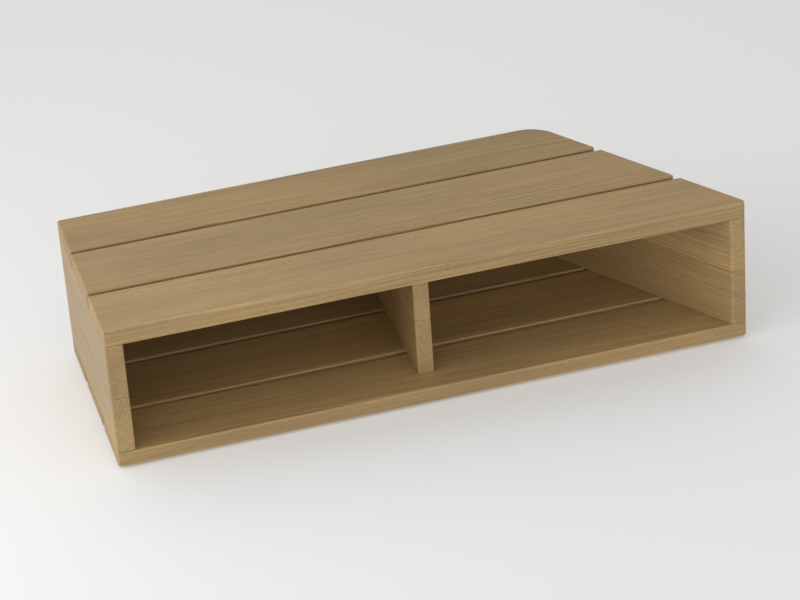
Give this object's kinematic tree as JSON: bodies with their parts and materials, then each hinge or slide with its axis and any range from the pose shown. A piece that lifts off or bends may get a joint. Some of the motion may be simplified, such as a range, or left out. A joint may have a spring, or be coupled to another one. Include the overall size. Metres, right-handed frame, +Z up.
{
  "type": "bathing step",
  "caption": "Low wooden step for a bath recess: slatted tread over open storage compartments, with one end cut obliquely in plan.",
  "frame": {"origin": "centre of the bounding box in plan, on the surface that the rubber pads stand on", "axes": "+X along the slats to the oblique end, +Y from the open front to the closed back, +Z up"},
  "size_m": [0.663, 0.228, 0.162],
  "materials": {
    "tread_wood": "light oak, fine straight grain along the slats, satin oil",
    "base_wood": "light oak, fine straight grain along the slats, satin oil",
    "side_wood": "light oak, satin oil",
    "dowel_wood": "plain beech",
    "screw_steel": "stainless steel",
    "pad_rubber": "black rubber"
  },
  "bodies": {
    "root": {"tread_slat_front": "tread_wood", "tread_slat_middle": "tread_wood", "tread_slat_rear": "tread_wood", "base_slat_front": "base_wood", "base_slat_middle": "base_wood", "base_slat_rear": "base_wood", "left_side_lower_board": "side_wood", "left_side_upper_board": "side_wood", "divider_lower_board": "side_wood", "divider_upper_board": "side_wood", "right_side_lower_board": "side_wood", "right_side_upper_board": "side_wood", "back_lower_board": "side_wood", "back_upper_board": "side_wood", "left_side_tread_dowels": "dowel_wood", "divider_tread_dowels": "dowel_wood", "right_side_tread_dowels": "dowel_wood", "left_side_board_dowels": "dowel_wood", "divider_board_dowels": "dowel_wood", "right_side_board_dowels": "dowel_wood", "back_end_dowels": "dowel_wood", "left_side_base_screws": "screw_steel", "divider_base_screws": "screw_steel", "right_side_base_screws": "screw_steel", "back_screws": "screw_steel", "foot_pad_screws": "screw_steel", "foot_pads": "pad_rubber"}
  },
  "joints": []
}
